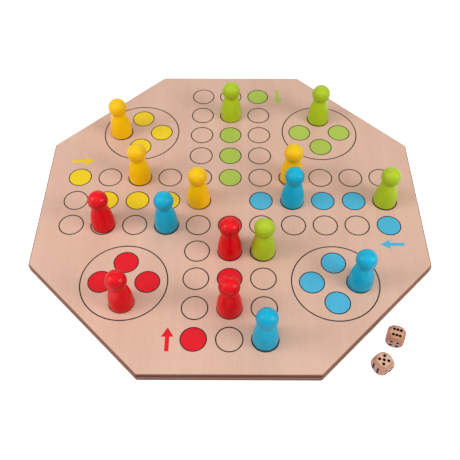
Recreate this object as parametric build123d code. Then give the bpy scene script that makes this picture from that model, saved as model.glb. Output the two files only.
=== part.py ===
from build123d import *
import os
from math import cos, radians, sin, sqrt

# An octagonal wooden ludo board with sixteen turned pawns and two dice. Lengths are in millimetres.
# The origin is the middle of the board's underside, and +Z is up. The red player sits towards -Y,
# blue towards +X, green towards +Y and yellow towards -X.

# Printed cells of the track, the home rows and the bases
ring_radius = 11.9
ring_line = 1.15
spot_radius = 11.05
spot_line = 1.0
cell_gap = 6.45
arm_cells = 5
ink_depth = 0.2

# Round bases in the four corners, with four spots each
base_spot_offset = 21.8
base_margin = 6.25
base_line = 1.15
base_gap = 12.9

# Arrows beside the four starting cells
arrow_length = 23.5
arrow_shaft_width = 3.8
arrow_head_width = 11.2
arrow_head_length = 9.4
arrow_gap = 4.8

# Board glued from three plies
ply_thickness = 3.6
side_margin = 21.5
corner_margin = 11.1
edge_round = 2.3
corner_ease = 0.3

# Pawns, turned in one piece
pawn_foot_radius = 11.5
pawn_flank_height = 27.7
pawn_neck_radius = 7.1
pawn_neck_length = 2.7
pawn_head_radius = 9.65
pawn_foot_break = 0.7
flank_swell_share = 0.035
neck_blend_share = 0.35

# Dice, cubes cut round by a ball, with drilled and painted pips
die_side = 15.3
die_face_margin = 1.2
die_rim_round = 1.2
pip_radius = 1.4
pip_depth = 0.6
pip_spread = 2.75
six_row_spread = 2.95
paint_film = 0.15
back_die_out = 19.8
back_die_along = -4.2
back_die_turn = -18.9
front_die_out = 27.6
front_die_along = -33.2
front_die_turn = -58.6

# How far every cutter runs past the face that it opens
overrun = 1.0

# Sizes that follow from the ones above
ring_outer = ring_radius + ring_line / 2
ring_inner = ring_radius - ring_line / 2
spot_outer = spot_radius + spot_line
cell_pitch = 2 * ring_outer + cell_gap
base_outer = base_spot_offset + spot_outer + base_margin + base_line
base_centre = cell_pitch + ring_outer + base_gap + base_outer
board_thickness = 3 * ply_thickness
ink_floor = board_thickness - ink_depth
board_half = arm_cells * cell_pitch + ring_outer + side_margin
corner_half = sqrt(2) * base_centre + base_outer + corner_margin
corner_leg = 2 * board_half - sqrt(2) * corner_half
corner_round = edge_round + corner_ease
arrow_centre = cell_pitch + ring_outer + arrow_gap + arrow_head_width / 2
die_half = die_side / 2
die_face_radius = die_half - die_face_margin
die_ball_radius = sqrt(die_half**2 + die_face_radius**2)

# Cells of the red player's quarter, as shares of the cell pitch from the middle of the board
start_cell_shares = [(-1, -arm_cells)]
home_cell_shares = [(0, -step) for step in range(1, arm_cells)]
track_cell_shares = (
    [(-1, -step) for step in range(1, arm_cells)]
    + [(-step, -1) for step in range(2, arm_cells + 1)]
    + [(-arm_cells, 0)]
)

# The players in the order of quarter turns from the red side
players = ["red", "blue", "green", "yellow"]

# Where each player's pawns stand, set down by hand and so a little off the middles: three on
# cells, in shares of the cell pitch, and one on the outermost spot of the base, in shares of the
# step from the base's middle to its spots
pawn_cell_shares = {
    "red": [(-3.975, -0.985), (0, -2), (0, -4.01)],
    "blue": [(1, -5), (-1.995, -1), (2.005, 0)],
    "green": [(0.02, 3.97), (4.99, 0), (1.015, -2.01)],
    "yellow": [(-2.99, 0.985), (-1.01, -0.01), (2.03, 0.99)],
}
base_pawn_shares = {
    "red": (0.01, -1.02),
    "blue": (1.045, 0.01),
    "green": (0.01, 1),
    "yellow": (-1.025, -0.01),
}


def quarter_turned(place, turns):
    """A place on the board, turned about its middle by a number of quarter turns."""
    x, y = place
    for _ in range(turns):
        x, y = -y, x
    return x, y


def cell_places(shares, turns):
    """The middles of some cells, for the player that many quarter turns from red."""
    middles = [(column * cell_pitch, row * cell_pitch) for column, row in shares]
    return [quarter_turned(middle, turns) for middle in middles]


def base_middle(turns):
    """The middle of a player's base, in the board's corner on that player's left."""
    return quarter_turned((-base_centre, -base_centre), turns)


def base_spot_places(turns):
    """The middles of the four spots in a player's base."""
    x, y = base_middle(turns)
    steps = [quarter_turned((base_spot_offset, 0), step) for step in range(4)]
    return [(x + step_x, y + step_y) for step_x, step_y in steps]


def coloured_places(turns):
    """The middles of all nine spots in a player's colour."""
    shares = start_cell_shares + home_cell_shares
    return cell_places(shares, turns) + base_spot_places(turns)


def board_outline():
    """The board's octagon, a square with its four corners cut off."""
    square = Rectangle(2 * board_half, 2 * board_half)
    octagon = chamfer(square.vertices(), corner_leg)
    return fillet(octagon.vertices(), corner_round)


def ring(outer, inner):
    """A printed circle's line."""
    return Circle(outer) - Circle(inner)


def arrow():
    """A starting arrow that points to +Y, about its own middle."""
    half_shaft = arrow_shaft_width / 2
    half_head = arrow_head_width / 2
    tip = arrow_length / 2
    barb = tip - arrow_head_length
    points = [(half_shaft, -tip), (half_shaft, barb), (half_head, barb), (0, tip)]
    points += [(-half_head, barb), (-half_shaft, barb), (-half_shaft, -tip)]
    return make_face(Polyline(*points, close=True))


def print_sketches():
    """Each printed node's flat shapes, in place on the board."""
    quarters = range(len(players))
    blank = [place for turns in quarters for place in cell_places(track_cell_shares, turns)]
    coloured = [place for turns in quarters for place in coloured_places(turns)]
    shapes = {
        "print_track_rings": [Pos(*place) * ring(ring_outer, ring_inner) for place in blank],
        "print_spot_rings": [Pos(*place) * ring(spot_outer, spot_radius) for place in coloured],
        "print_base_circles": [
            Pos(*base_middle(turns)) * ring(base_outer, base_outer - base_line) for turns in quarters
        ],
    }
    for turns, player in enumerate(players):
        arrow_place = quarter_turned((-arrow_centre, -arm_cells * cell_pitch), turns)
        shapes[f"print_{player}_spots"] = [
            Pos(*place) * Circle(spot_radius) for place in coloured_places(turns)
        ]
        shapes[f"print_{player}_arrow"] = [Pos(*arrow_place) * Rot(Z=90 * turns) * arrow()]
    return shapes


def printed(shapes, height):
    """Solids of some height on the floor of the shallow pockets that the ink fills."""
    return [extrude(Pos(Z=ink_floor) * shape, height) for shape in shapes]


def ply(level):
    """One ply of the board, counted from the bottom, before its edge is rounded."""
    return extrude(Pos(Z=level * ply_thickness) * board_outline(), ply_thickness)


def face_ply(shapes):
    """The top ply, with its upper edge rounded and a pocket for each printed shape."""
    plain = ply(2)
    rounded = fillet(plain.faces().sort_by(Axis.Z)[-1].edges(), edge_round)
    pockets = [pocket for group in shapes.values() for pocket in printed(group, ink_depth + overrun)]
    return rounded - pockets


def back_ply():
    """The bottom ply, with its lower edge rounded."""
    plain = ply(0)
    return fillet(plain.faces().sort_by(Axis.Z)[0].edges(), edge_round)


def pawn():
    """A turned pawn on the floor: a swelling cone, a short neck and a ball for a head."""
    head_foot = pawn_flank_height + pawn_neck_length
    head_middle = head_foot + sqrt(pawn_head_radius**2 - pawn_neck_radius**2)
    head_top = head_middle + pawn_head_radius
    foot = Line((0, 0), (pawn_foot_radius, 0))
    flank_end = (pawn_neck_radius, pawn_flank_height)
    flank = TangentArc(foot @ 1, flank_end, tangent=(flank_swell_share, 1))
    neck = Line(flank_end, (pawn_neck_radius, head_foot))
    head = ThreePointArc(neck @ 1, (pawn_head_radius, head_middle), (0, head_top))
    axis = Line((0, head_top), (0, 0))
    profile = make_face([foot, flank, neck, head, axis])
    turned = revolve(Plane.XZ * profile, Axis.Z)
    circles = turned.edges().filter_by(GeomType.CIRCLE)
    waist = circles.sort_by_distance((pawn_neck_radius, 0, pawn_flank_height))[0]
    lean_share = (pawn_foot_radius - pawn_neck_radius) / pawn_flank_height + flank_swell_share / 2
    blended = fillet(waist, neck_blend_share * pawn_neck_length / lean_share)
    return fillet(blended.faces().sort_by(Axis.Z)[0].edges(), pawn_foot_break)


def pawn_places(player):
    """The middles of the four pawns' feet."""
    turns = players.index(player)
    x, y = base_middle(turns)
    step_x, step_y = base_pawn_shares[player]
    in_base = (x + step_x * base_spot_offset, y + step_y * base_spot_offset)
    return [in_base] + cell_places(pawn_cell_shares[player], 0)


def pip_layouts():
    """Where the pips of each face are, across its middle."""
    low = -pip_spread
    high = pip_spread
    corners = [(low, low), (high, high), (low, high), (high, low)]
    return {
        1: [(0, 0)],
        2: corners[:2],
        3: corners[:2] + [(0, 0)],
        4: corners,
        5: corners + [(0, 0)],
        6: [(along, side) for along in (-six_row_spread, 0, six_row_spread) for side in (low, high)],
    }


def die_faces():
    """The plane of each numbered face of a die about its middle, with six on top."""
    return {
        1: Plane((0, 0, -die_half), x_dir=(0, 1, 0), z_dir=(0, 0, -1)),
        2: Plane((-die_half, 0, 0), x_dir=(0, 1, 0), z_dir=(-1, 0, 0)),
        3: Plane((0, die_half, 0), x_dir=(1, 0, 0), z_dir=(0, 1, 0)),
        4: Plane((0, -die_half, 0), x_dir=(1, 0, 0), z_dir=(0, -1, 0)),
        5: Plane((die_half, 0, 0), x_dir=(0, 1, 0), z_dir=(1, 0, 0)),
        6: Plane((0, 0, die_half), x_dir=(1, 0, 0), z_dir=(0, 0, 1)),
    }


def die_with_pips():
    """A die about its middle, and the dished paint in its pips."""
    ball_cut = Box(die_side, die_side, die_side) & Sphere(die_ball_radius)
    rims = ball_cut.faces().filter_by(GeomType.PLANE).edges()
    blank = fillet(rims, die_rim_round)
    dish_radius = (pip_radius**2 + pip_depth**2) / (2 * pip_depth)
    dish = Sphere(dish_radius)
    film = dish - Sphere(dish_radius - paint_film)
    lift = Pos(Z=dish_radius - pip_depth)
    spots = [
        plane.location * Pos(*place) * lift
        for number, plane in die_faces().items()
        for place in pip_layouts()[number]
    ]
    body = blank - [spot * dish for spot in spots]
    paint = [(spot * film) & blank for spot in spots]
    return body, paint


def die_place(out, along):
    """A point beside the cut corner between red and blue, half a die above the table."""
    reach = corner_half + out
    return ((reach + along) / sqrt(2), (along - reach) / sqrt(2), die_half)


def back_die_plane():
    """The die at the back shows a six."""
    turn = radians(back_die_turn)
    middle = die_place(back_die_out, back_die_along)
    return Plane(middle, x_dir=(cos(turn), sin(turn), 0), z_dir=(0, 0, 1))


def front_die_plane():
    """The die at the front shows a five, with its six on the left."""
    turn = radians(front_die_turn)
    middle = die_place(front_die_out, front_die_along)
    return Plane(middle, x_dir=(0, 0, 1), z_dir=(sin(turn), -cos(turn), 0))


def save(name, solids):
    """Write one node's solids to its own file."""
    export_step(Compound(solids), f"parts/{name}.step")


os.makedirs("parts", exist_ok=True)

sketches = print_sketches()
save("face_ply", face_ply(sketches).solids())
save("core_ply", ply(1).solids())
save("back_ply", back_ply().solids())

for node, group in sketches.items():
    save(node, printed(group, ink_depth))

one_pawn = pawn()
for player in players:
    for number, (x, y) in enumerate(pawn_places(player), start=1):
        save(f"pawn_{player}_{number}", [Pos(x, y, board_thickness) * one_pawn])

die_body, die_paint = die_with_pips()
for node, plane in {"back_die": back_die_plane(), "front_die": front_die_plane()}.items():
    save(node, [plane.location * die_body])
    save(f"{node}_pips", [plane.location * film for film in die_paint])
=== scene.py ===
"""A wooden ludo board set out for play, with its turned pawns and its two dice."""
import math

import bpy
from mathutils import Matrix, Vector


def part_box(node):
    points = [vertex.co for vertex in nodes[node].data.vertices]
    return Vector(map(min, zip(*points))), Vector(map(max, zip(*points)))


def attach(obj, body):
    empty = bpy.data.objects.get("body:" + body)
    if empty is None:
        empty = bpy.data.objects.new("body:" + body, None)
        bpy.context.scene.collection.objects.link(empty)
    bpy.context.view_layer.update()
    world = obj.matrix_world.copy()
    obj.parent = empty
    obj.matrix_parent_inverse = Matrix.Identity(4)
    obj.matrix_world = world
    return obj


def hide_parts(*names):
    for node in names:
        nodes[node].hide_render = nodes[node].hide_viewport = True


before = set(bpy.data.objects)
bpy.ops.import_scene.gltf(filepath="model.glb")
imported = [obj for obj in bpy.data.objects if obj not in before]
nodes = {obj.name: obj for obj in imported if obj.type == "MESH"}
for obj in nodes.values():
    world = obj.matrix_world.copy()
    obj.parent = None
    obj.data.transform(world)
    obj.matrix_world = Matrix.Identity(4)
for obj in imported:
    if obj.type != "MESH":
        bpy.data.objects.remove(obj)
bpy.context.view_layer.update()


# The camera
# It stands in front of the red side and looks down on the board at about fifty degrees.
# Its place, turn and lens come from the printed cells, which lie on an even grid.
camera_place = (0.00279, -0.42144, 0.51745)
camera_turn_degrees = (37.157, 0.101, 0.271)
camera_lens = 50.635
sensor_width = 36.0

bpy.ops.object.camera_add(
    location=camera_place,
    rotation=[math.radians(angle) for angle in camera_turn_degrees],
)
camera = bpy.context.object
camera.name = "camera"
camera.data.lens = camera_lens
camera.data.sensor_width = sensor_width
bpy.context.scene.camera = camera
bpy.context.scene.view_settings.view_transform = "Standard"


# The studio
# Softboxes hang round and above a white table in a pale room, and two low ones reach the pawns'
# flanks. The table reads as pure white to the camera and keeps faint shadows of what is on it.
full_white = (1, 1, 1, 1)
room_level = 0.3
table_size = 8.0
table_drop = 0.0001
table_grey = (0.85, 0.85, 0.85, 1)
glow_near = 0.62
glow_far = 0.8
near_reach = 0.35
far_reach = 1.1


def new_node(tree, kind, settings=None, inputs=None):
    """A shader node with its settings, and with its inputs set to values or linked to sockets."""
    node = tree.nodes.new(kind)
    for name, value in (settings or {}).items():
        setattr(node, name, value)
    for name, value in (inputs or {}).items():
        if isinstance(value, bpy.types.NodeSocket):
            tree.links.new(value, node.inputs[name])
        else:
            node.inputs[name].default_value = value
    return node


def computed(tree, operation, first, second=0.0, clamp=False):
    """The result of one step of arithmetic."""
    settings = {"operation": operation, "use_clamp": clamp}
    return new_node(tree, "ShaderNodeMath", settings, {0: first, 1: second}).outputs[0]


def ranged(tree, value, low, high, start=0.0, end=1.0):
    """A value's place between two limits, turned into a value between two others."""
    inputs = {"Value": value, "From Min": low, "From Max": high, "To Min": start, "To Max": end}
    return new_node(tree, "ShaderNodeMapRange", inputs=inputs).outputs[0]


def distance(tree, place):
    """How far a place is from the origin of its coordinates."""
    settings = {"operation": "LENGTH"}
    return new_node(tree, "ShaderNodeVectorMath", settings, {0: place}).outputs["Value"]


def emptied_tree(owner):
    """The node tree of a material or a world, with its default nodes taken out."""
    owner.use_nodes = True
    owner.node_tree.nodes.clear()
    return owner.node_tree


def softbox(name, place, size, power):
    """A square area lamp that looks at the middle of the board."""
    bpy.ops.object.light_add(type="AREA", location=place)
    lamp = bpy.context.object
    lamp.name = name
    lamp.data.shape = "SQUARE"
    lamp.data.size = size
    lamp.data.energy = power
    lamp.rotation_euler = (-Vector(place)).to_track_quat("-Z", "Y").to_euler()


def seen_directly(tree):
    """One where the camera looks at a surface straight, in a gloss or through glass, else zero."""
    path = new_node(tree, "ShaderNodeLightPath").outputs
    shown = computed(tree, "MAXIMUM", path["Is Glossy Ray"], path["Is Transmission Ray"])
    return computed(tree, "MAXIMUM", path["Is Camera Ray"], shown)


def pale_room():
    """A world that is pure white to the camera and only pale to the things in it."""
    room = bpy.data.worlds.new("room")
    tree = emptied_tree(room)
    level = ranged(tree, seen_directly(tree), 0.0, 1.0, room_level, 1.0)
    inputs = {"Color": full_white, "Strength": level}
    light = new_node(tree, "ShaderNodeBackground", inputs=inputs)
    new_node(tree, "ShaderNodeOutputWorld", inputs={"Surface": light.outputs[0]})
    return room


def table_material():
    """Matt white that also glows to the camera, and more so farther from the board."""
    material = bpy.data.materials.new("white_table")
    tree = emptied_tree(material)
    place = new_node(tree, "ShaderNodeTexCoord").outputs["Object"]
    level = ranged(tree, distance(tree, place), near_reach, far_reach, glow_near, glow_far)
    shown = computed(tree, "MULTIPLY", seen_directly(tree), level)
    glow = new_node(tree, "ShaderNodeEmission", inputs={"Color": full_white, "Strength": shown})
    matt = new_node(tree, "ShaderNodeBsdfDiffuse", inputs={"Color": table_grey})
    both = new_node(tree, "ShaderNodeAddShader", inputs={0: glow.outputs[0], 1: matt.outputs[0]})
    new_node(tree, "ShaderNodeOutputMaterial", inputs={"Surface": both.outputs[0]})
    return material


softbox("left_softbox", place=(-0.8, -0.19, 0.62), size=0.42, power=2.9)
softbox("right_softbox", place=(0.95, -0.5, 0.72), size=0.54, power=5.6)
softbox("back_softbox", place=(0.12, 1.5, 1.1), size=0.9, power=2.8)
softbox("top_softbox", place=(-0.26, -0.56, 1.32), size=1.6, power=7.1)
softbox("left_low_softbox", place=(-1.1, -0.4, 0.32), size=0.6, power=1.4)
softbox("right_low_softbox", place=(1.1, -0.25, 0.32), size=0.6, power=1.4)
bpy.context.scene.world = pale_room()

bpy.ops.mesh.primitive_plane_add(size=table_size, location=(0, 0, -table_drop))
table = bpy.context.object
table.name = "table"
table.data.materials.append(table_material())


# The wood
# Board and dice are steamed beech: pinkish brown, with fine fibres and short dark ray flecks.
# The pattern is solid, with its fibres along Y, so side grain and end grain both come right.
band_cells = (75, 3.5, 75)
drift_cells = (14, 9, 14)
fibre_cells = (1500, 42, 1500)
ray_cells = (3200, 210, 3200)
noise_low = 0.3
noise_high = 0.7
ray_low = 0.58
ray_high = 0.75


def rgb(red, green, blue):
    """A colour given as it looks on a screen, from 0 to 255, in the form that a shader takes."""
    shares = [value / 255 for value in (red, green, blue)]
    return [s / 12.92 if s <= 0.04045 else ((s + 0.055) / 1.055) ** 2.4 for s in shares] + [1.0]


def mixed(tree, share, first, second):
    """A share of the second colour over the first."""
    mix = new_node(tree, "ShaderNodeMix", {"data_type": "RGBA"}, {0: share, 6: first, 7: second})
    return mix.outputs[2]


def noise(tree, vector, cells, detail=1.0, roughness=0.5):
    """Noise with its own number of cells per metre along each axis."""
    mapped = new_node(tree, "ShaderNodeMapping", inputs={"Vector": vector, "Scale": cells})
    inputs = {"Vector": mapped.outputs[0], "Scale": 1.0, "Detail": detail, "Roughness": roughness}
    return new_node(tree, "ShaderNodeTexNoise", inputs=inputs).outputs[0]


def axis_part(tree, vector, axis):
    """One of the three numbers of a place or a normal."""
    return new_node(tree, "ShaderNodeSeparateXYZ", inputs={0: vector}).outputs[axis]


def new_group(name, inputs, outputs):
    """An empty node group with named sockets, and its two end nodes."""
    tree = bpy.data.node_groups.new(name, "ShaderNodeTree")
    for socket, kind in inputs.items():
        tree.interface.new_socket(socket, in_out="INPUT", socket_type=f"NodeSocket{kind}")
    for socket, kind in outputs.items():
        tree.interface.new_socket(socket, in_out="OUTPUT", socket_type=f"NodeSocket{kind}")
    return tree, tree.nodes.new("NodeGroupInput").outputs, tree.nodes.new("NodeGroupOutput").inputs


def beech_group():
    """Beech with its fibres along Y: broad growth bands, fine fibres and short ray flecks."""
    tree, given, made = new_group(
        "beech",
        {"Vector": "Vector", "Pale": "Color", "Dark": "Color", "Fleck": "Color"}
        | {"Figure": "Float", "Fibre": "Float", "Flecks": "Float"},
        {"Color": "Color", "Height": "Float"},
    )
    vector = given["Vector"]
    bands = ranged(tree, noise(tree, vector, band_cells, detail=2.0), noise_low, noise_high)
    drift = ranged(tree, noise(tree, vector, drift_cells), noise_low, noise_high)
    fine_noise = noise(tree, vector, fibre_cells, detail=3.0, roughness=0.6)
    fibre = ranged(tree, fine_noise, noise_low, noise_high)
    rays = ranged(tree, noise(tree, vector, ray_cells), ray_low, ray_high)
    broad = computed(tree, "MULTIPLY", computed(tree, "ADD", bands, drift), given["Figure"])
    fine = computed(tree, "MULTIPLY", fibre, given["Fibre"])
    depth = computed(tree, "ADD", broad, fine, clamp=True)
    plain = mixed(tree, depth, given["Pale"], given["Dark"])
    flecked = computed(tree, "MULTIPLY", rays, given["Flecks"])
    tree.links.new(mixed(tree, flecked, plain, given["Fleck"]), made["Color"])
    tree.links.new(computed(tree, "SUBTRACT", fibre, rays), made["Height"])
    return tree


beech = beech_group()


def surface(tree, colour, roughness, height, relief, constants):
    """The Principled shader that ends a material, with the depth of its relief in metres."""
    bump = new_node(tree, "ShaderNodeBump", inputs={"Distance": relief, "Height": height})
    inputs = {"Base Color": colour, "Roughness": roughness, "Normal": bump.outputs[0]}
    shader = new_node(tree, "ShaderNodeBsdfPrincipled", inputs=inputs | constants)
    new_node(tree, "ShaderNodeOutputMaterial", inputs={"Surface": shader.outputs[0]})


# The board
# Three beech plies are glued with the middle one crosswise, sawn to an octagon and sanded round
# its edges. Clear satin varnish covers the faces; it soaks into the edges and turns them brown.
ply_thickness = 0.0036
ply_fibres = {"face_ply": (0, "Y"), "core_ply": (math.pi / 2, "X"), "back_ply": (0, "Y")}
glue_half = 0.00012
glue_fade = 0.00035
face_upright = 0.96
side_upright = 0.82
end_grain_from = 0.5
face_roughness = 0.42
side_roughness = 0.6
board_grain = {"Figure": 0.28, "Fibre": 0.4, "Flecks": 0.25}
board_relief = 0.00002
board_shine = {"Specular IOR Level": 0.12}
board_colours = {
    "face_pale": rgb(233, 194, 173),
    "face_dark": rgb(218, 177, 156),
    "face_fleck": rgb(188, 142, 118),
    "side_fleck": rgb(88, 58, 46),
    "glue": rgb(104, 72, 62),
}
# The sawn edges of each ply, along the fibres and across their ends. They get paler and greyer from
# the face ply down to the back ply: partly the plies' own wood, partly painted light bounced up
# from the white table.
sawn_colours = {
    "face_ply": {
        "side_pale": rgb(156, 111, 92),
        "side_dark": rgb(127, 84, 67),
        "end_pale": rgb(102, 61, 45),
        "end_dark": rgb(79, 44, 31),
    },
    "core_ply": {
        "side_pale": rgb(162, 120, 102),
        "side_dark": rgb(134, 94, 78),
        "end_pale": rgb(138, 97, 81),
        "end_dark": rgb(111, 75, 62),
    },
    "back_ply": {
        "side_pale": rgb(206, 158, 143),
        "side_dark": rgb(176, 128, 114),
        "end_pale": rgb(112, 76, 64),
        "end_dark": rgb(88, 56, 46),
    },
}


def ply_material(name, fibre_turn, end_axis):
    """One ply's wood. Its fibres run along Y before the turn, and end_axis is where they end."""
    material = bpy.data.materials.new(name)
    tree = emptied_tree(material)
    place = new_node(tree, "ShaderNodeTexCoord").outputs
    turn = {"Vector": place["Object"], "Rotation": (0, 0, fibre_turn)}
    turned = new_node(tree, "ShaderNodeMapping", inputs=turn).outputs[0]
    upright = computed(tree, "ABSOLUTE", axis_part(tree, place["Normal"], "Z"))
    side = ranged(tree, upright, face_upright, side_upright)
    towards_end = computed(tree, "ABSOLUTE", axis_part(tree, place["Normal"], end_axis))
    end = ranged(tree, towards_end, end_grain_from, 1.0)
    colours = board_colours
    sawn = sawn_colours[name]
    side_pale = mixed(tree, end, sawn["side_pale"], sawn["end_pale"])
    side_dark = mixed(tree, end, sawn["side_dark"], sawn["end_dark"])
    inputs = {
        "Vector": turned,
        "Pale": mixed(tree, side, colours["face_pale"], side_pale),
        "Dark": mixed(tree, side, colours["face_dark"], side_dark),
        "Fleck": mixed(tree, side, colours["face_fleck"], colours["side_fleck"]),
    }
    inputs |= board_grain
    wood = new_node(tree, "ShaderNodeGroup", {"node_tree": beech}, inputs).outputs
    from_glue = computed(tree, "PINGPONG", axis_part(tree, place["Object"], "Z"), ply_thickness / 2)
    glue = computed(tree, "MULTIPLY", ranged(tree, from_glue, glue_fade, glue_half), side)
    colour = mixed(tree, glue, wood["Color"], colours["glue"])
    roughness = ranged(tree, side, 0.0, 1.0, face_roughness, side_roughness)
    surface(tree, colour, roughness, wood["Height"], board_relief, board_shine)
    return material


for node, (fibre_turn, end_axis) in ply_fibres.items():
    nodes[node].material_slots[0].material = ply_material(node, fibre_turn, end_axis)


# The printing
# The track, the spots, the bases and the arrows are screen printed on the sanded face, and the
# wood's fibres still show through the thin ink as faint streaks and as a fine relief.
ink_grain = {"Figure": 0.1, "Fibre": 0.6, "Flecks": 0.5}
ink_cells = (400, 400, 400)
ink_smooth = 0.42
ink_rough = 0.5
ink_relief = 0.00001
ink_shine = {"Specular IOR Level": 0.15}
ink_colours = {
    "line": (rgb(30, 20, 20), rgb(20, 13, 13)),
    "red": (rgb(235, 33, 46), rgb(221, 22, 36)),
    "blue": (rgb(86, 188, 222), rgb(72, 176, 213)),
    "green": (rgb(182, 206, 90), rgb(170, 194, 72)),
    "yellow": (rgb(248, 216, 42), rgb(239, 203, 24)),
}


def ink_material(name, full, thin):
    """Satin ink on beech, with its full colour and the colour where a fibre shows through."""
    material = bpy.data.materials.new(f"{name}_ink")
    tree = emptied_tree(material)
    place = new_node(tree, "ShaderNodeTexCoord").outputs["Object"]
    inputs = {"Vector": place, "Pale": full, "Dark": thin, "Fleck": thin} | ink_grain
    wood = new_node(tree, "ShaderNodeGroup", {"node_tree": beech}, inputs).outputs
    uneven = noise(tree, place, ink_cells, detail=2.0)
    roughness = ranged(tree, uneven, noise_low, noise_high, ink_smooth, ink_rough)
    surface(tree, wood["Color"], roughness, wood["Height"], ink_relief, ink_shine)
    return material


inks = {name: ink_material(name, *pair) for name, pair in ink_colours.items()}
for node in ("print_track_rings", "print_spot_rings", "print_base_circles"):
    nodes[node].material_slots[0].material = inks["line"]
for player in ("red", "blue", "green", "yellow"):
    for kind in ("spots", "arrow"):
        nodes[f"print_{player}_{kind}"].material_slots[0].material = inks[player]


# The pawns
# Each is turned in one piece from a hardwood dowel, sanded, and dipped in satin lacquer. Its
# colour carries painted light: painted shade in the crease, down the flank and under the head,
# the top of the head painted lighter, and a painted contact shadow round the foot.
foot_radius = 0.0115
foot_break = 0.0007
foot_break_degrees = (0, 30, 60, 90)
flank_height = 0.0277
flank_swell_share = 0.035
flank_steps = 14
flank_end_share = 0.94
neck_radius = 0.0071
neck_length = 0.0027
blend_share = 0.35
blend_out_and_up_shares = ((0.09, 0.1), (0.02, 0.6), (0.0, 1.0))
head_radius = 0.00965
head_steps = 30
tip_radius = 0.0007
pawn_sides = 72
smooth_degrees = 35

# The painted contact shadow round the foot: full up to the first height above it, gone by the
# second.
foot_shadow_solid = 0.0006
foot_shadow_end = 0.0014
# Painted shade in the crease under the head, deeper down the flank towards the foot, and under the
# head, whose top is painted lighter.
crease_shade_reach = 0.0022
crease_shade_depth = 0.45
flank_shade_length = 0.022
flank_top_shade = 0.3
flank_foot_shade = 0.5
head_from = 0.0015
head_shade_low = 0.0095
head_shade_high = 0.0166
head_shade_depth = 0.45
head_top_light = -0.4
cloud_cells = (160, 160, 70)
cloud_low = 0.35
cloud_depth = 0.25
ring_cells = (40, 40, 1300)
ring_relief_share = 0.5
turned_fibre_cells = (1300, 1300, 60)
fibre_relief_share = 0.3
peel_cells = (900, 900, 900)
peel_relief_share = 0.6
lacquer_smooth = 0.23
lacquer_rough = 0.28
lacquer_relief = 0.000008
lacquer_shine = {"Specular IOR Level": 0.19}
# For each player: the plain colour, the deeper one for painted shade and random clouding, and the
# near black of the painted contact shadow round the foot.
lacquer_colours = {
    "red": (rgb(246, 2, 22), rgb(192, 0, 10), rgb(58, 2, 6)),
    "blue": (rgb(8, 185, 219), rgb(0, 150, 188), rgb(4, 38, 50)),
    "green": (rgb(185, 209, 40), rgb(157, 183, 20), rgb(42, 48, 6)),
    "yellow": (rgb(252, 205, 0), rgb(240, 180, 0), rgb(62, 44, 4)),
}


def foot_outline():
    """The rounded edge of the foot, as radius and height."""
    rounding = [math.radians(degrees) for degrees in foot_break_degrees]
    return [
        (foot_radius - foot_break * (1 - math.sin(angle)), foot_break * (1 - math.cos(angle)))
        for angle in rounding
    ]


def flank_outline():
    """The flank's one long hollow curve, which swells a little above the foot."""
    lean_at_foot = -math.atan(flank_swell_share)
    mean_lean = math.atan((foot_radius - neck_radius) / flank_height)
    lean_at_waist = 2 * mean_lean - lean_at_foot
    chord = math.hypot(foot_radius - neck_radius, flank_height)
    curve = chord / (2 * math.sin(mean_lean - lean_at_foot))
    outline = []
    for step in range(1, flank_steps + 1):
        lean = lean_at_foot + (lean_at_waist - lean_at_foot) * step / flank_steps * flank_end_share
        radius = foot_radius - curve * (math.cos(lean_at_foot) - math.cos(lean))
        outline.append((radius, curve * (math.sin(lean) - math.sin(lean_at_foot))))
    return outline


def neck_outline():
    """The short turn from the flank into the straight neck."""
    blend = blend_share * neck_length
    return [
        (neck_radius + blend * out_share, flank_height + blend * up_share)
        for out_share, up_share in blend_out_and_up_shares
    ]


def head_outline():
    """The ball of the head, from the neck up to a small flat tip."""
    start = math.asin(neck_radius / head_radius)
    end = math.asin(tip_radius / head_radius)
    middle = flank_height + neck_length + head_radius * math.cos(start)
    outline = []
    for step in range(head_steps + 1):
        angle = math.pi - start + (end - math.pi + start) * step / head_steps
        outline.append((head_radius * math.sin(angle), middle + head_radius * math.cos(angle)))
    return outline


def turned_pawn():
    """A pawn in the middle of the board, drawn up ring by ring from its foot."""
    outline = foot_outline() + flank_outline() + neck_outline() + head_outline()
    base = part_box("face_ply")[1].z
    bpy.ops.object.select_all(action="DESELECT")
    bpy.ops.mesh.primitive_circle_add(
        vertices=pawn_sides, radius=outline[0][0], fill_type="NGON", location=(0, 0, base)
    )
    piece = bpy.context.object
    bpy.ops.object.mode_set(mode="EDIT")
    bpy.ops.mesh.select_all(action="SELECT")
    for (radius, height), (next_radius, next_height) in zip(outline, outline[1:]):
        rise = (0, 0, next_height - height)
        grow = next_radius / radius
        bpy.ops.mesh.extrude_region_move(TRANSFORM_OT_translate={"value": rise})
        bpy.ops.transform.resize(value=(grow, grow, 1))
    bpy.ops.mesh.select_all(action="SELECT")
    bpy.ops.mesh.normals_make_consistent(inside=False)
    bpy.ops.object.mode_set(mode="OBJECT")
    bpy.ops.object.transform_apply(location=True)
    bpy.ops.object.shade_smooth_by_angle(angle=math.radians(smooth_degrees))
    return piece


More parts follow.
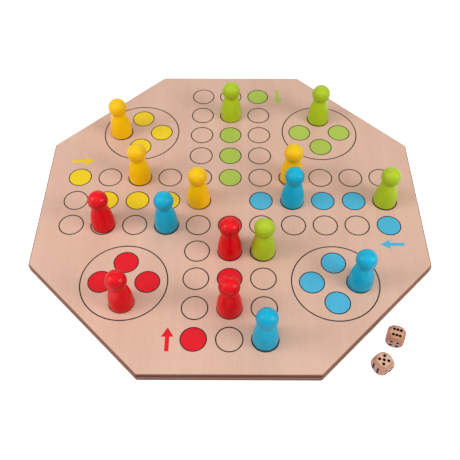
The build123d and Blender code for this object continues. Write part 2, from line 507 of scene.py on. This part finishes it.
def lacquer_group():
    """Lacquer over turned wood, which needs to know how high the foot and the crease are."""
    tree, given, made = new_group(
        "lacquer",
        {"Vector": "Vector", "Colour": "Color", "Deep": "Color", "Foot Shadow": "Color"}
        | {"Crease": "Float", "Foot": "Float"},
        {"Color": "Color", "Roughness": "Float", "Height": "Float"},
    )
    vector = given["Vector"]
    height = axis_part(tree, vector, "Z")
    above_foot = computed(tree, "SUBTRACT", height, given["Foot"])
    # A painted contact shadow round the foot.
    painted_foot_shadow = ranged(tree, above_foot, foot_shadow_solid, foot_shadow_end, 1.0, 0.0)

    # Painted shade in the crease, down the flank and under the head, and painted light on the top
    # of the head; the clouding after it is random tone.
    above_crease = computed(tree, "SUBTRACT", height, given["Crease"])
    off_crease = computed(tree, "ABSOLUTE", above_crease)
    crease_shade = ranged(tree, off_crease, crease_shade_reach, 0.0, 0.0, crease_shade_depth)
    drop = -flank_shade_length
    flank_shade = ranged(tree, above_crease, 0.0, drop, flank_top_shade, flank_foot_shade)
    on_head = ranged(tree, above_crease, 0.0, head_from)
    head_shade = ranged(tree, above_crease, head_shade_low, head_shade_high, head_shade_depth, head_top_light)
    shaded_lacquer = computed(tree, "ADD", flank_shade, computed(tree, "MULTIPLY", on_head, head_shade))
    clouded = noise(tree, vector, cloud_cells, detail=2.0)
    cloud = ranged(tree, clouded, cloud_low, noise_high, 0.0, cloud_depth)
    depth = computed(tree, "ADD", computed(tree, "ADD", crease_shade, shaded_lacquer), cloud, clamp=True)
    colour = mixed(tree, depth, given["Colour"], given["Deep"])

    rings = noise(tree, vector, ring_cells, detail=2.0)
    rings = computed(tree, "MULTIPLY", rings, ring_relief_share)
    fibre = noise(tree, vector, turned_fibre_cells, detail=2.0)
    fibre = computed(tree, "MULTIPLY", fibre, fibre_relief_share)
    peel = computed(tree, "MULTIPLY", noise(tree, vector, peel_cells), peel_relief_share)
    marks = computed(tree, "ADD", computed(tree, "ADD", rings, fibre), peel)
    roughness = ranged(tree, cloud, 0.0, cloud_depth, lacquer_smooth, lacquer_rough)
    tree.links.new(mixed(tree, painted_foot_shadow, colour, given["Foot Shadow"]), made["Color"])
    tree.links.new(roughness, made["Roughness"])
    tree.links.new(marks, made["Height"])
    return tree


lacquer = lacquer_group()


def lacquer_material(player, colour, deep, painted_foot_shadow):
    """One player's lacquer, in its plain colour, its deep one for painted shade and the painted
    shadow round the foot.
    """
    material = bpy.data.materials.new(f"{player}_lacquer")
    tree = emptied_tree(material)
    place = new_node(tree, "ShaderNodeTexCoord").outputs["Object"]
    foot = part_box("face_ply")[1].z
    crease = foot + flank_height + neck_length
    inputs = {"Vector": place, "Colour": colour, "Deep": deep, "Foot Shadow": painted_foot_shadow}
    inputs |= {"Crease": crease, "Foot": foot}
    shaded_lacquer = new_node(tree, "ShaderNodeGroup", {"node_tree": lacquer}, inputs).outputs
    surface(tree, shaded_lacquer["Color"], shaded_lacquer["Roughness"], shaded_lacquer["Height"], lacquer_relief, lacquer_shine)
    return material


master_pawn = turned_pawn()
for player, colours in lacquer_colours.items():
    material = lacquer_material(player, *colours)
    for number in range(1, 5):
        node = f"pawn_{player}_{number}"
        low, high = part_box(node)
        mesh = master_pawn.data.copy()
        mesh.transform(Matrix.Translation(((low.x + high.x) / 2, (low.y + high.y) / 2, 0)))
        mesh.materials.append(material)
        piece = bpy.data.objects.new(f"turned_{node}", mesh)
        bpy.context.scene.collection.objects.link(piece)
        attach(piece, node)
        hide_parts(node)
bpy.data.objects.remove(master_pawn)


# The dice
# They are sawn from beech, tumbled until their edges are round, and waxed; the edges take up
# more wax and turn orange brown. The pips are drilled as shallow dishes and painted black.
back_die_turn = math.radians(-18.9)
front_die_turn = math.radians(-58.6)
die_colours = {
    "back_die": {
        "pale": rgb(223, 169, 145),
        "dark": rgb(205, 148, 122),
        "edge": rgb(177, 115, 81),
    },
    "front_die": {
        "pale": rgb(230, 189, 167),
        "dark": rgb(214, 168, 145),
        "edge": rgb(195, 137, 108),
    },
}
# The four upright sides take a greyer tone: partly the end grain's own, partly painted shade where
# less light reaches them.
die_side_pale_and_shade = rgb(207, 170, 157)
die_side_dark_and_shade = rgb(184, 145, 133)
die_fleck = rgb(156, 102, 76)
die_grain = {"Figure": 0.3, "Fibre": 0.5, "Flecks": 0.6}
die_top_upright = 0.85
die_side_upright = 0.5
flat_reach = 0.0093
edge_reach = 0.0102
blotch_cells = (500, 500, 500)
blotch_reach = 0.0005
die_flat_roughness = 0.55
die_edge_roughness = 0.42
die_relief = 0.00003
die_shine = {"Specular IOR Level": 0.3}

pip_black = rgb(4, 2, 2)
pip_grey = rgb(14, 9, 8)
pip_cells = (1800, 1800, 1800)
pip_smooth = 0.4
pip_rough = 0.55
pip_shine = {"Specular IOR Level": 0.05}


def die_material(name, node, turn):
    """Beech about the middle of one die, turned with it: paler on top, with end-grain tone and
    painted shade on the four sides.
    """
    low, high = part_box(node)
    material = bpy.data.materials.new(name)
    tree = emptied_tree(material)
    place = new_node(tree, "ShaderNodeTexCoord").outputs
    frame_of_die = {"Vector": place["Object"], "Location": (low + high) / 2, "Rotation": turn}
    own = new_node(tree, "ShaderNodeMapping", {"vector_type": "TEXTURE"}, frame_of_die).outputs[0]
    # The upright sides, found by the normal, take the end-grain tone and painted shade.
    upright = computed(tree, "ABSOLUTE", axis_part(tree, place["Normal"], "Z"))
    side = ranged(tree, upright, die_top_upright, die_side_upright)
    uneven = noise(tree, own, blotch_cells, detail=2.0)
    blotch = ranged(tree, uneven, noise_low, noise_high, -blotch_reach, blotch_reach)
    reach = computed(tree, "ADD", distance(tree, own), blotch)
    worn = ranged(tree, reach, flat_reach, edge_reach)
    colours = die_colours[node]
    pale = mixed(tree, side, colours["pale"], die_side_pale_and_shade)
    dark = mixed(tree, side, colours["dark"], die_side_dark_and_shade)
    inputs = {
        "Vector": own,
        "Pale": mixed(tree, worn, pale, colours["edge"]),
        "Dark": mixed(tree, worn, dark, colours["edge"]),
        "Fleck": die_fleck,
    }
    inputs |= die_grain
    wood = new_node(tree, "ShaderNodeGroup", {"node_tree": beech}, inputs).outputs
    roughness = ranged(tree, worn, 0.0, 1.0, die_flat_roughness, die_edge_roughness)
    surface(tree, wood["Color"], roughness, wood["Height"], die_relief, die_shine)
    return material


def pip_material():
    """Black paint, satin and a little uneven."""
    material = bpy.data.materials.new("pip_paint")
    tree = emptied_tree(material)
    place = new_node(tree, "ShaderNodeTexCoord").outputs["Object"]
    uneven = noise(tree, place, pip_cells, detail=2.0)
    colour = mixed(tree, uneven, pip_black, pip_grey)
    roughness = ranged(tree, uneven, noise_low, noise_high, pip_smooth, pip_rough)
    surface(tree, colour, roughness, uneven, die_relief, pip_shine)
    return material


front_die_axes = Matrix(
    (
        (0, -math.cos(front_die_turn), math.sin(front_die_turn)),
        (0, -math.sin(front_die_turn), -math.cos(front_die_turn)),
        (1, 0, 0),
    )
)
die_turns = {"back_die": (0, 0, back_die_turn), "front_die": front_die_axes.to_euler()}
pip_paint = pip_material()
for node, turn in die_turns.items():
    nodes[node].material_slots[0].material = die_material(f"{node}_wood", node, turn)
    nodes[f"{node}_pips"].material_slots[0].material = pip_paint
